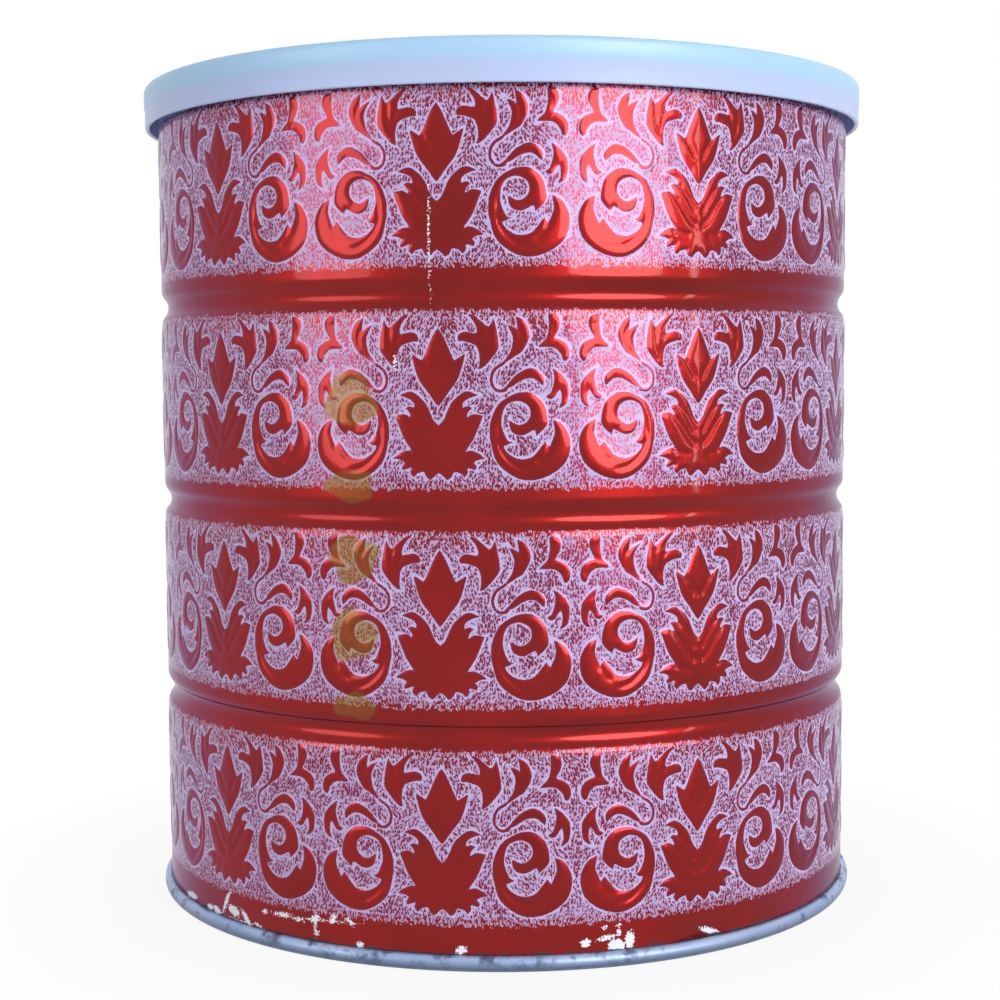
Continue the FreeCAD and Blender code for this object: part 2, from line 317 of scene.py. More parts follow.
def ornament(places, sizes):
    """(height, distance inside the nearest motif) at places on one half unit, in millimetres."""
    height = np.zeros(len(places))
    nearest = np.full(len(places), FAR_OUTSIDE)
    motifs = [(strokes, creases, True) for strokes, creases in MIRRORED_MOTIFS]
    motifs += [(strokes, creases, False) for strokes, creases in MOTIFS]
    for strokes, creases, mirror in motifs:
        line = outline(strokes, mirror)
        depth = distance_to(line, places, closed=True)[0]
        depth = np.where(is_inside(line, places), depth, -depth)
        swell = np.clip(depth / sizes.pillow_width, 0, 1)
        lift = sizes.relief * swell * (2 - swell)
        lift += sizes.edge_rise * smooth_step(depth / sizes.edge_width + 0.5)
        pressed = np.zeros(len(places))
        for crease_depth, crease in creases:
            away, run = distance_to(smooth_run(crease), places)
            ends = smooth_step(run / 0.15 + 0.3) * smooth_step((1 - run) / 0.25 + 0.1)
            groove = np.exp(-((away / sizes.crease_width) ** 2)) * ends
            pressed = np.maximum(pressed, crease_depth * sizes.crease_depth * groove)
        height += lift - pressed * smooth_step(depth / 0.6)
        nearest = np.maximum(nearest, depth)
    away = distance_to(smooth_run(CANE), places)[0]
    height += sizes.cane_height * np.exp(-((away / sizes.cane_width) ** 2))
    return height, np.maximum(nearest, sizes.cane_width / 2 - away)


def bead_offset(height):
    """How far the wall stands in at a height, in millimetres: one arc runs into the next."""
    floor = BEAD_FLOOR_ROUNDING * math.sin(BEAD_SLOPE)
    reach = floor + BEAD_SHOULDER_ROUNDING * math.sin(BEAD_SLOPE)
    depth = (BEAD_FLOOR_ROUNDING + BEAD_SHOULDER_ROUNDING) * (1 - math.cos(BEAD_SLOPE))
    offset = np.zeros_like(height)
    for number in range(BANDS - 1):
        away = np.abs(height - BEAD_CENTRE - number * BAND_PITCH)
        rise = BEAD_FLOOR_ROUNDING - np.sqrt(np.maximum(BEAD_FLOOR_ROUNDING**2 - away**2, 0))
        bow = np.sqrt(np.maximum(BEAD_SHOULDER_ROUNDING**2 - (away - reach) ** 2, 0))
        inward = np.where(away < floor, depth - rise, BEAD_SHOULDER_ROUNDING - bow)
        offset -= np.where(away < reach, inward, 0)
    return offset


def unevenness(turn, height, sizes):
    """Slight waves of thin sheet that was rolled, filled and handled, in millimetres."""
    draw = np.random.default_rng(4)
    total = np.zeros_like(turn)
    for _ in range(SHEET_WAVES):
        across = draw.integers(3, 26)
        up = draw.uniform(-0.06, 0.06)
        phase = draw.uniform(0, 2 * math.pi)
        total += np.sin(across * turn + 2 * math.pi * up * height + phase) / across
    return sizes.unevenness * total


def dent_offset(along, height):
    """The knock low on the right of the front, in millimetres."""
    across = (along - DENT_PLACE) / DENT_HALF_LENGTH
    up = (height - DENT_HEIGHT) / DENT_HALF_HEIGHT
    return -DENT_DEPTH * np.exp(-(across**2) - up**2)


def lap_offset(column):
    """The side seam: the sheet's end lies over its start, and stands out by its thickness."""
    lap = (column - UNIT_COLUMNS) / SEAM_CELLS
    inside = (lap > LAP_START) & (lap < 0.999)
    return np.where(inside, LAP_RISE * smooth_step((lap - LAP_START) * 8), 0.0)


def blot(along, height, spot):
    """Depth of places inside a slanted oval spot, in millimetres; below zero outside it."""
    place, level, half_length, half_width, slant = spot
    cosine, sine = math.cos(math.radians(slant)), math.sin(math.radians(slant))
    x, y = along - place, height - level
    long_way = (x * cosine + y * sine) / half_length
    short_way = (y * cosine - x * sine) / half_width
    return (1 - np.hypot(long_way, short_way)) * min(half_length, half_width)


def back_chips():
    """Small nicks in the lower strip, round the sides and back."""
    draw = np.random.default_rng(BACK_CHIP_SEED)
    chips = []
    for _ in range(BACK_CHIPS):
        place = draw.uniform(FRONT_REACH, GIRTH - FRONT_REACH)
        length = draw.uniform(0.4, 1.8)
        width = draw.uniform(0.3, 0.7)
        chips.append((place, draw.uniform(3.4, 7.5), length, width, draw.uniform(-60, 60)))
    return chips


def bare_metal(along, height):
    """Depth inside the nearest chip or scratch, in millimetres; negative away from them."""
    depth = np.full(len(along), -2.0)
    for spot in CHIPS + back_chips():
        for shift in (0, -GIRTH):
            depth = np.maximum(depth, blot(along, height, (spot[0] + shift, *spot[1:])))
    return depth


def stain_strength(along, height):
    """How stained each place is, from 0 to 1, with a darker rim where a drop dried."""
    strength = np.zeros(len(along))
    for number, (place, level, half_length, half_width) in enumerate(STAINS):
        x, y = along - place, height - level
        turn = np.arctan2(y / half_width, x / half_length)
        wobble = 0.10 * np.sin(3 * turn + 1.7 * number) + 0.07 * np.sin(5 * turn + number)
        reach = np.hypot(x / half_length, y / half_width) + wobble
        inside = smooth_step((1.06 - reach) / 0.16)
        rim = np.exp(-(((reach - 0.9) / 0.16) ** 2))
        strength = np.maximum(strength, inside * (0.88 + 0.12 * rim))
    return strength


# ---------------------------------------------------------------- modelling


def deselect():
    """Leaves nothing selected, so that the next operator acts on what it makes."""
    bpy.ops.object.select_all(action="DESELECT")


def finish_piece(piece, name, material, slot, *nodes):
    """Names a piece, gives it its finish and ties it to the frame."""
    piece.name = name
    piece.data.name = name
    piece.data.materials.clear()
    piece.data.materials.append(material)
    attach(piece, "root")
    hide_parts(*nodes)


def set_attribute(mesh, name, values):
    """Stores one number for each vertex."""
    layer = mesh.attributes.new(name, "FLOAT", "POINT")
    layer.data.foreach_set("value", np.asarray(values, np.float32))


def rolled_sheet(low, high, rows, band, sizes):
    """The wall between two heights, in millimetres: a flat grid that is embossed and rolled."""
    deselect()
    bpy.ops.mesh.primitive_grid_add(x_subdivisions=COLUMNS, y_subdivisions=rows, size=1)
    sheet = bpy.context.object
    mesh = sheet.data
    flat = np.empty(len(mesh.vertices) * 3, np.float32)
    mesh.vertices.foreach_get("co", flat)
    flat = flat.reshape(-1, 3).astype(float)
    column = np.rint((flat[:, 0] + 0.5) * COLUMNS).astype(int)
    height = low + (flat[:, 1] + 0.5) * (high - low)
    along = np.where(
        column <= UNIT_COLUMNS,
        SHEET_START + column * HALF_UNIT / HALF_UNIT_CELLS,
        SHEET_END + (column - UNIT_COLUMNS) * SEAM_STRIP / SEAM_CELLS,
    )
    turn = along / WALL_RADIUS
    offset = bead_offset(height) + unevenness(turn, height, sizes)
    offset += dent_offset(along, height) + lap_offset(column)
    motif = np.full(len(along), FAR_OUTSIDE)
    if band is not None:
        level = height - (BAND_FOOT + band * BAND_PITCH)
        lift, motif = folded_ornament(column, level, rows, sizes)
        offset += lift
    radius = (WALL_RADIUS + offset) * MM
    rolled = np.stack([radius * np.sin(turn), -radius * np.cos(turn), height * MM], 1)
    mesh.vertices.foreach_set("co", rolled.astype(np.float32).ravel())
    set_attribute(mesh, "motif", motif)
    set_attribute(mesh, "stain", stain_strength(along, height))
    set_attribute(mesh, "bare", bare_metal(along, height))
    lay_sheet_map(mesh, along, height)
    lay_strip_map(mesh, column, (height - low) / (high - low), 8 if band is None else 4)
    bpy.ops.object.mode_set(mode="EDIT")
    bpy.ops.mesh.select_all(action="SELECT")
    bpy.ops.mesh.remove_doubles(threshold=1e-6)
    bpy.ops.object.mode_set(mode="OBJECT")
    bpy.ops.object.shade_smooth()
    return sheet


def folded_ornament(column, level, rows, sizes):
    """Ornament for each vertex, worked out once on a half unit and folded out over the sheet."""
    steps = HALF_UNIT_CELLS + 1
    across = np.linspace(0, HALF_UNIT, steps)
    levels = np.linspace(BAND_LOW, BAND_HIGH, rows + 1)
    places = np.stack(np.meshgrid(across, levels), -1).reshape(-1, 2)
    height, motif = (values.reshape(rows + 1, steps) for values in ornament(places, sizes))
    row = np.rint((level - BAND_LOW) / (BAND_HIGH - BAND_LOW) * rows).astype(int)
    folded = np.abs(column % (2 * HALF_UNIT_CELLS) - HALF_UNIT_CELLS)
    on_sheet = column <= UNIT_COLUMNS
    folded = np.where(on_sheet, folded, 0)
    return (
        np.where(on_sheet, height[row, folded], 0.0),
        np.where(on_sheet, motif[row, folded], FAR_OUTSIDE),
    )


def corner_vertices(mesh):
    """Number of the vertex at each face corner."""
    corner = np.empty(len(mesh.loops), np.int32)
    mesh.loops.foreach_get("vertex_index", corner)
    return corner


def lay_sheet_map(mesh, along, height):
    """UV map of places on the flat sheet, in metres."""
    corner = corner_vertices(mesh)
    layer = mesh.uv_layers[0]
    layer.name = "sheet"
    places = np.stack([along[corner], height[corner]], 1) * MM
    layer.data.foreach_set("uv", places.astype(np.float32).ravel())


def lay_strip_map(mesh, column, share, strips):
    """UV map for baking: the long sheet is cut into strips, laid one above the other."""
    corner = corner_vertices(mesh)
    columns = column[corner].reshape(-1, 4)
    strip_columns = COLUMNS // strips
    strip = np.repeat(columns.min(1) // strip_columns, 4)
    across = (columns.ravel() - strip * strip_columns) / strip_columns
    up = (strip + 0.01 + 0.98 * share[corner]) / strips
    layer = mesh.uv_layers.new(name="OFBake", do_init=False)
    places = np.stack([0.003 + 0.994 * across, up], 1)
    layer.data.foreach_set("uv", places.astype(np.float32).ravel())


def ring_up(radius, height, steps):
    """Starts a turned piece in edit mode: a circle of one radius at one height."""
    deselect()
    bpy.ops.mesh.primitive_circle_add(vertices=steps, radius=radius, location=(0, 0, height))
    bpy.ops.object.transform_apply(location=True, rotation=False, scale=False)
    bpy.ops.object.mode_set(mode="EDIT")
    bpy.ops.mesh.select_all(action="SELECT")
    return bpy.context.object


def turn_profile(profile, steps=256):
    """Turned piece: a circle is extruded to each (radius, height) of the profile in turn."""
    piece = ring_up(*profile[0], steps)
    for (radius, height), (new_radius, new_height) in zip(profile, profile[1:]):
        bpy.ops.mesh.extrude_region_move(
            TRANSFORM_OT_translate={"value": (0, 0, new_height - height)}
        )
        share = new_radius / radius
        bpy.ops.transform.resize(value=(share, share, 1), center_override=(0, 0, new_height))
    bpy.ops.object.mode_set(mode="OBJECT")
    return piece


def arc(centre, radius, start, end, steps):
    """(radius, height) places along an arc, in degrees from straight out."""
    angles = np.radians(np.linspace(start, end, steps))
    return [
        (centre[0] + radius * math.cos(angle), centre[1] + radius * math.sin(angle))
        for angle in angles
    ]


def close_and_smooth(degrees, face_outwards=True):
    """Merges a turned piece's last tiny circle into one point and smooths the piece."""
    bpy.ops.object.mode_set(mode="EDIT")
    bpy.ops.mesh.merge(type="CENTER")
    if face_outwards:
        bpy.ops.mesh.select_all(action="SELECT")
        bpy.ops.mesh.normals_make_consistent(inside=False)
    bpy.ops.object.mode_set(mode="OBJECT")
    bpy.ops.object.shade_smooth_by_angle(angle=math.radians(degrees))


# ---------------------------------------------------------------- finishes


class Finish:
    """The node tree of one material, with a short call for each kind of node that it uses."""

    def __init__(self, name):
        self.material = bpy.data.materials.new(name)
        self.material.use_nodes = True
        self.tree = self.material.node_tree
        self.shader = self.tree.nodes["Principled BSDF"]

    def put(self, socket, value):
        """Links a socket to another, or sets it to a plain value."""
        if isinstance(value, bpy.types.NodeSocket):
            self.tree.links.new(value, socket)
        else:
            socket.default_value = value

    def node(self, kind, inputs=(), **settings):
        made = self.tree.nodes.new("ShaderNode" + kind)
        for name, value in settings.items():
            setattr(made, name, value)
        for name, value in dict(inputs).items():
            self.put(made.inputs[name], value)
        return made

    def maths(self, operation, first, second):
        return self.node("Math", {0: first, 1: second}, operation=operation).outputs[0]

    def plus(self, first, second):
        return self.maths("ADD", first, second)

    def times(self, first, second):
        return self.maths("MULTIPLY", first, second)

    def rest_of(self, share):
        """What is left of 1."""
        return self.maths("SUBTRACT", 1.0, share)

    def vector(self, operation, first, second):
        return self.node("VectorMath", {0: first, 1: second}, operation=operation).outputs[0]

    def read(self, name):
        """A number that the mesh holds for each vertex."""
        return self.node("Attribute", attribute_name=name).outputs["Fac"]

    def step(self, value, low, high):
        """0 at low, 1 at high, smooth between."""
        inputs = {"Value": value, "From Min": low, "From Max": high}
        node = self.node("MapRange", inputs, interpolation_type="SMOOTHSTEP")
        return node.outputs[0]

    def ramp(self, value, low, high, start=0.0, end=1.0):
        """Straight-line change from start to end as the value goes from low to high."""
        inputs = {
            "Value": value, "From Min": low, "From Max": high, "To Min": start, "To Max": end,
        }
        return self.node("MapRange", inputs).outputs[0]

    def noise(self, vector, scale, detail=2.0, roughness=0.5, dimensions="3D"):
        inputs = {"Vector": vector, "Scale": scale, "Detail": detail, "Roughness": roughness}
        return self.node("TexNoise", inputs, noise_dimensions=dimensions).outputs[0]

    def flat_noise(self, place, scale, detail):
        return self.noise(place, scale, detail, dimensions="2D")

    def mix(self, share, first, second, blend="MIX"):
        """Colour between two others."""
        node = self.node("Mix", data_type="RGBA", blend_type=blend)
        for index, value in ((0, share), (6, first), (7, second)):
            self.put(node.inputs[index], value)
        return node.outputs[2]

    def blend(self, share, first, second):
        """Number between two others."""
        node = self.node("Mix", data_type="FLOAT")
        for index, value in ((0, share), (2, first), (3, second)):
            self.put(node.inputs[index], value)
        return node.outputs[0]

    def bump(self, height, distance, strength):
        inputs = {"Height": height, "Distance": distance, "Strength": strength}
        return self.node("Bump", inputs).outputs[0]

    def set(self, **values):
        """Sets or links inputs of the material's shader; an underscore stands for a space."""
        for name, value in values.items():
            self.put(self.shader.inputs[name.replace("_", " ")], value)


def colour(values):
    """Colour with full cover, as sockets want it."""
    return (*values, 1.0)


def strokes(finish, place, cell, half, lean, reach, shift):
    """Mask of short leaning strokes, one in each cell of a loose grid, in millimetres."""
    width, height = cell
    scaled = finish.vector("MULTIPLY", place, (1 / width, 1 / height, 0))
    scaled = finish.vector("ADD", scaled, (shift, shift, 0))
    voronoi = finish.node(
        "TexVoronoi", {"Vector": scaled, "Scale": 1.0, "Randomness": 0.85},
        voronoi_dimensions="2D",
    )
    parts = finish.node("SeparateColor", {0: voronoi.outputs["Color"]})
    local = finish.vector("SUBTRACT", scaled, voronoi.outputs["Position"])
    local = finish.vector("MULTIPLY", local, (width, height, 0))
    angle = finish.plus(lean, finish.ramp(parts.outputs[0], 0, 1, -0.35, 0.35))
    turned = finish.node("VectorRotate", {"Vector": local, "Angle": angle}, rotation_type="Z_AXIS")
    squared = finish.vector("MULTIPLY", turned.outputs[0], (1 / half[0], 1 / half[1], 0))
    length = finish.node("VectorMath", {0: squared}, operation="LENGTH").outputs["Value"]
    varied = finish.times(reach, finish.ramp(parts.outputs[1], 0, 1, 0.65, 1.2))
    return finish.step(finish.maths("SUBTRACT", varied, length), -0.10, 0.14)


def window(finish, value, low, high, softness):
    """About 1 while a value is between two limits, and 0 outside them."""
    rise = finish.step(value, low - softness, low + softness)
    fall = finish.step(value, high + softness, high - softness)
    return finish.times(rise, fall)


def band_level(finish, place):
    """Height above the foot of the nearest band, in millimetres."""
    height = finish.node("SeparateXYZ", {0: place}).outputs[1]
    raised = finish.maths("SUBTRACT", height, BAND_FOOT - 3)
    return finish.maths("SUBTRACT", finish.maths("FLOORED_MODULO", raised, BAND_PITCH), 3)


def stippled_ink(finish, place, motif, level):
    """(ink cover, ground cover, edge distance) of the pale ground round the motifs."""
    ragged = finish.flat_noise(place, 0.9, 2.0)
    fine = finish.flat_noise(place, 2.2, 2.0)
    edge = finish.plus(motif, finish.ramp(fine, 0, 1, -0.10, 0.10))
    outside = finish.step(edge, 0.05, -0.05)

    sway = finish.node(
        "TexNoise", {"Vector": place, "Scale": 1.3, "Detail": 1.0}, noise_dimensions="2D"
    )
    sway = finish.vector("SUBTRACT", sway.outputs["Color"], (0.5, 0.5, 0.5))
    swayed = finish.vector("ADD", place, finish.vector("MULTIPLY", sway, (0.5, 0.5, 0)))
    lean = finish.ramp(finish.flat_noise(place, 0.16, 0.0), 0.3, 0.7, -0.55, 0.55)
    patchy = finish.ramp(finish.flat_noise(place, 0.22, 2.0), 0.3, 0.7, 0.85, 1.32)
    toward_top = finish.ramp(level, 27.0, 31.0, 1.0, 1.1)
    reach = finish.times(patchy, toward_top)
    dark = strokes(finish, swayed, (0.50, 0.80), (0.17, 0.41), lean, reach, 0.0)
    rim = finish.ramp(finish.flat_noise(place, 0.4, 1.0), 0.35, 0.65, 0.02, 0.42)
    clear = finish.step(finish.plus(edge, rim), 0.06, -0.20)
    body = finish.maths("SUBTRACT", 1.0, finish.times(dark, clear))

    slight_lean = finish.ramp(lean, -1, 1, -0.3, 0.3)
    fine_reach = finish.ramp(fine, 0.3, 0.7, 0.8, 1.1)
    light = strokes(finish, swayed, (0.46, 0.85), (0.16, 0.50), slight_lean, fine_reach, 17.3)
    wavering = finish.plus(level, finish.ramp(ragged, 0.3, 0.7, -0.45, 0.45))
    inner = finish.times(
        finish.step(wavering, 0.75, 1.05), finish.step(wavering, 32.7, 32.4)
    )
    ink = finish.blend(inner, light, body)
    band = finish.times(
        finish.step(wavering, -0.45, -0.25), finish.step(wavering, 33.75, 33.55)
    )
    cover = finish.times(band, outside)
    return finish.times(ink, cover), finish.times(inner, cover), edge


def printed_tin(colours):
    """Red lacquer over bright tin, with a pale stippled ground round the red motifs."""
    finish = Finish("printed_tin")
    sheet = finish.node("UVMap", uv_map="sheet").outputs[0]
    place = finish.vector("MULTIPLY", sheet, (1000, 1000, 0))
    motif = finish.read("motif")
    stain = finish.read("stain")
    bare = finish.read("bare")
    level = band_level(finish, place)
    height = finish.node("SeparateXYZ", {0: place})
    along, height = height.outputs[0], height.outputs[1]

    ink, ground, edge = stippled_ink(finish, place, motif, level)
    past_end = finish.step(along, SHEET_END + 2.6, SHEET_END + 2.9)
    on_sheet = finish.rest_of(past_end)
    ink = finish.times(ink, on_sheet)

    shade = finish.flat_noise(place, 0.05, 3.0)
    grain = finish.flat_noise(place, 1.6, 3.0)
    lacquer = finish.mix(shade, colour(colours.red_deep), colour(colours.red))
    lacquer = finish.mix(
        finish.ramp(grain, 0.35, 0.75, 0.0, 0.22), lacquer, colour(colours.red_deep)
    )
    middle = finish.times(
        finish.step(level, 0.2, 1.2), finish.step(level, 31.8, 28.5)
    )
    middle = finish.times(middle, ground)
    lacquer = finish.mix(finish.times(middle, 0.9), lacquer, colour(colours.stroke))
    # Darker line along each motif's edge: partly a printed outline, partly painted shade at the
    # raised edge.
    edge_line_and_shade = finish.times(window(finish, edge, 0.0, 0.30, 0.12), 0.5)
    lacquer = finish.mix(edge_line_and_shade, lacquer, colour(colours.stroke))
    pale = finish.mix(
        finish.flat_noise(place, 0.7, 3.0),
        colour(colours.ink_shade), colour(colours.ink),
    )
    pale = finish.mix(finish.step(edge, -1.1, -0.3), pale, colour(colours.ink_edge))
    printed = finish.mix(ink, lacquer, pale)
    blotched = finish.flat_noise(place, 0.7, 3.0)
    stain = finish.times(stain, finish.ramp(blotched, 0.3, 0.6, 0.75, 1.0))
    stained = finish.mix(stain, printed, colour(colours.stain), blend="MULTIPLY")
    film = finish.times(stain, 0.13)
    stained = finish.mix(film, stained, (0.62, 0.36, 0.03, 1))

    torn = finish.flat_noise(place, 2.4, 3.0)
    chipped = finish.plus(bare, finish.ramp(torn, 0.25, 0.75, -0.35, 0.35))
    chip = finish.step(chipped, -0.03, 0.05)
    strip = finish.step(along, SHEET_END + 4.2, SHEET_END + 4.4)
    strip_end = finish.step(along, SHEET_END + 13.4, SHEET_END + 13.2)
    seam = finish.times(strip, strip_end)
    metal = finish.maths("MAXIMUM", chip, seam)
    finished = finish.mix(seam, stained, colour(colours.tin))
    finished = finish.mix(chip, finished, colour(colours.primer))
    # Near-black band in the crevice over the lower seam: partly grime, partly painted shade of the
    # crevice.
    dirt = finish.flat_noise(place, 0.35, 3.0)
    low = finish.plus(height, finish.ramp(dirt, 0.3, 0.7, 0.3, -0.4))
    dirt = finish.times(finish.step(low, SEAM_TOP / MM + 0.3, SEAM_TOP / MM), 0.95)
    finished = finish.mix(dirt, finished, colour(colours.grime))

    unlacquered = finish.rest_of(metal)
    covered = finish.times(ink, unlacquered)
    covered = finish.maths("MAXIMUM", covered, finish.maths("MAXIMUM", dirt, chip))
    covered = finish.maths("MAXIMUM", covered, film)
    worn = finish.flat_noise(place, 0.4, 3.0)
    in_band = finish.times(finish.step(level, -1, 1), finish.step(level, 34, 32))
    gloss = finish.blend(in_band, finish.ramp(worn, 0.3, 0.7, 0.27, 0.33), 0.24)
    rough = finish.blend(covered, gloss, 0.42)
    rough = finish.blend(metal, rough, 0.34)
    peel = finish.flat_noise(place, 0.9, 2.0)
    peel = finish.maths("SUBTRACT", peel, finish.times(chip, 1.5))
    normal = finish.bump(peel, 0.00003, 0.35)
    finish.set(
        Base_Color=finished,
        Metallic=finish.rest_of(covered),
        Roughness=rough,
        Normal=normal,
        Specular_Tint=(0.55, 0.5, 0.8, 1),
        Coat_Weight=0.4,
        Coat_Roughness=0.06,
    )
    return finish.material


def bare_tin(colours):
    """Dull grey tinplate with blotches, rust and dirt in specks, and painted shade on its
    downward-facing surfaces near the floor.
    """
    finish = Finish("bare_tin")
    place = finish.node("TexCoord").outputs["Object"]
    mottle = finish.noise(place, 220.0, 4.0, 0.65)
    cloud = finish.noise(place, 60.0, 3.0)
    bright = finish.ramp(cloud, 0.35, 0.65, 0.0, 0.35)
    tin = finish.mix(bright, colour(colours.tin_dull), colour(colours.tin))
    tin = finish.mix(finish.step(mottle, 0.50, 0.66), tin, colour(colours.tin_dark))
    spots = finish.noise(place, 130.0, 5.0, 0.7)
    rust = finish.step(spots, 0.665, 0.70)
    finished = finish.mix(rust, tin, colour(colours.rust))
    # Painted shade: surfaces that face down near the floor are darkened towards the dark tin colour.
    parts = finish.node("SeparateXYZ", {0: place})
    outward = finish.node("SeparateXYZ", {0: finish.node("NewGeometry").outputs["Normal"]})
    shaded = finish.ramp(outward.outputs[2], 0.6, -0.35, 0.0, 0.92)
    near_floor = finish.step(parts.outputs[2], 0.003, 0.0025)
    shaded = finish.times(shaded, near_floor)
    finished = finish.mix(shaded, finished, colour(colours.tin_dark))
    finish.set(
        Base_Color=finished,
        Metallic=finish.times(finish.rest_of(rust), 0.4),
        Roughness=finish.blend(rust, finish.ramp(mottle, 0.3, 0.7, 0.32, 0.46), 0.85),
        Normal=finish.bump(mottle, 0.0001, 0.5),
    )
    return finish.material


def lid_plastic(colours):
    """Smooth pale blue plastic, a little waxy, with faint scuffs, and a painted lavender
    show-through of the wall on the lower skirt.
    """
    finish = Finish("lid_plastic")
    place = finish.node("TexCoord").outputs["Object"]
    height = finish.node("SeparateXYZ", {0: place}).outputs[2]
    # Painted show-through: below the upper seam's height the skirt takes a lavender tint that stands
    # in for the red wall seen through the plastic.
    over_seam = CAN_TOP - SEAM_TOP
    above = finish.step(height, over_seam - 0.0012, over_seam + 0.0012)
    base = finish.mix(above, colour(colours.lid_low), colour(colours.lid))
    cloud = finish.noise(place, 25.0, 3.0)
    base = finish.mix(finish.ramp(cloud, 0.3, 0.7, 0, 0.12), base, (0.5, 0.5, 0.6, 1))
    scuff = finish.noise(finish.vector("MULTIPLY", place, (60, 60, 900)), 1.0, 3.0)
    finish.set(
        Base_Color=base,
        Roughness=finish.ramp(scuff, 0.3, 0.7, 0.30, 0.42),
        Normal=finish.bump(scuff, 0.00003, 0.4),
        Subsurface_Weight=0.15,
        Subsurface_Radius=(0.004, 0.005, 0.006),
        Subsurface_Scale=1.0,
    )
    return finish.material


# ---------------------------------------------------------------- settings


class CanSizes(bpy.types.PropertyGroup):
    """Sizes of the embossed ornament, in millimetres."""

    relief: FloatProperty(name="Relief", description="Height of a motif's pillow", default=0.17)
    pillow_width: FloatProperty(
        name="Pillow width", description="From a motif's edge to its full height", default=1.6
    )
    edge_rise: FloatProperty(name="Edge rise", description="Step at a motif's edge", default=0.05)
    edge_width: FloatProperty(name="Edge width", description="Width of that step", default=0.8)
    crease_depth: FloatProperty(
        name="Creases", description="Depth of creases, 1 as drawn", default=0.62
    )
    crease_width: FloatProperty(name="Crease width", description="Reach of a crease", default=0.6)
    cane_height: FloatProperty(name="Cane", description="Height of the thin cane", default=0.14)
    cane_width: FloatProperty(name="Cane width", description="Width of the cane", default=0.62)
    unevenness: FloatProperty(
        name="Unevenness", description="Size of the wall's slow waves", default=0.10
    )


def colour_property(name, description, default):
    """Colour setting, in linear light."""
    return FloatVectorProperty(
        name=name, description=description, default=default, subtype="COLOR", min=0, max=1
    )


class CanColours(bpy.types.PropertyGroup):
    """Colours of the can's finishes."""

    red: colour_property("Red", "Lacquer over tin", (0.31, 0.006, 0.005))
    red_deep: colour_property("Deep red", "Thicker lacquer", (0.17, 0.004, 0.003))
    stroke: colour_property("Stroke", "Dark strokes in the ground", (0.20, 0.014, 0.05))
    ink: colour_property("Ink", "Pale ground", (0.50, 0.38, 0.64))
    ink_shade: colour_property("Ink shade", "Thinner ground", (0.43, 0.28, 0.50))
    ink_edge: colour_property("Ink edge", "Ground close to a motif", (0.53, 0.44, 0.74))
    stain: colour_property("Stain", "Dried drops over the print", (0.58, 0.47, 0.04))
    # Near-black grime that also stands in for painted shade in the crevice over the seam.
    grime: colour_property("Grime", "Dirt in the crevice over the seam", (0.03, 0.022, 0.025))
    primer: colour_property("Primer", "Bare spots in the lacquer", (0.84, 0.92, 1.0))
    tin: colour_property("Tin", "Bare bright tinplate", (0.66, 0.76, 0.90))
    tin_dull: colour_property("Dull tin", "Weathered tinplate", (0.30, 0.42, 0.70))
    # Used both for dirty mottling and for painted shade on the underside of the lower seam.
    tin_dark: colour_property("Dark tin", "Dirty tinplate", (0.09, 0.125, 0.21))
    rust: colour_property("Rust", "Rust and old dirt", (0.075, 0.055, 0.03))
    lid: colour_property("Lid", "Pale blue plastic over the rim", (0.40, 0.67, 0.96))
    # Painted show-through: stands in for the red wall seen through the lower skirt.
    lid_low: colour_property("Lid below", "Plastic that the wall shows through", (0.48, 0.60, 0.92))


class StageSettings(bpy.types.PropertyGroup):
    """Camera and light."""

    lens: FloatProperty(name="Lens", description="Focal length", default=66.56, unit="CAMERA")
    camera_distance: FloatProperty(
        name="Distance", description="Camera to the can's axis", default=0.4262, unit="LENGTH"
    )
    camera_height: FloatProperty(
        name="Height", description="Height of the camera", default=0.1155, unit="LENGTH"
    )
    pitch: FloatProperty(
        name="Pitch", description="Downward tilt", default=math.radians(3.995), subtype="ANGLE"
    )
    yaw: FloatProperty(
        name="Yaw", description="Turn to the right", default=math.radians(-0.123), subtype="ANGLE"
    )
    roll: FloatProperty(
        name="Roll", description="Turn about the view", default=math.radians(-0.358),
        subtype="ANGLE",
    )


# ---------------------------------------------------------------- operators


class PieceOperator:
    """What the operators of the pieces share."""

    bl_options = {"REGISTER", "UNDO"}

    def execute(self, context):
        self.build(context.scene.can_sizes, context.scene.can_colours)
        return {"FINISHED"}


def shared_material(make, colours):
    """The material that a function makes, made the first time that it is asked for."""
    return bpy.data.materials.get(make.__name__) or make(colours)


class CAN_OT_bands(PieceOperator, bpy.types.Operator):
    """Adds the four embossed and printed bands of the wall"""

    bl_idname = "coffee_can.bands"
    bl_label = "Embossed bands"

    def build(self, sizes, colours):
        tin = shared_material(printed_tin, colours)
        for band in range(BANDS):
            foot = BAND_FOOT + band * BAND_PITCH
            low, high = foot + BAND_LOW, foot + BAND_HIGH
            piece = rolled_sheet(low, high, BAND_ROWS, band, sizes)
            finish_piece(piece, f"embossed_band_{band + 1}", tin, "red_tinplate", "can_body")


class CAN_OT_beads(PieceOperator, bpy.types.Operator):
    """Adds the beads with the plain strips above them, and the plain strip at the foot"""

    bl_idname = "coffee_can.beads"
    bl_label = "Beads and plain strips"

    def build(self, sizes, colours):
        tin = shared_material(printed_tin, colours)
        for number in range(BANDS - 1):
            low = BAND_FOOT + number * BAND_PITCH + BAND_HIGH
            high = BAND_FOOT + (number + 1) * BAND_PITCH + BAND_LOW
            piece = rolled_sheet(low, high, BEAD_ROWS, None, sizes)
            finish_piece(piece, f"bead_{number + 1}", tin, "red_tinplate", "can_body")
        low = SEAM_TOP / MM - CREVICE
        foot = rolled_sheet(low, BAND_FOOT + BAND_LOW, FOOT_ROWS, None, sizes)
        finish_piece(foot, "foot_strip", tin, "red_tinplate", "can_body")


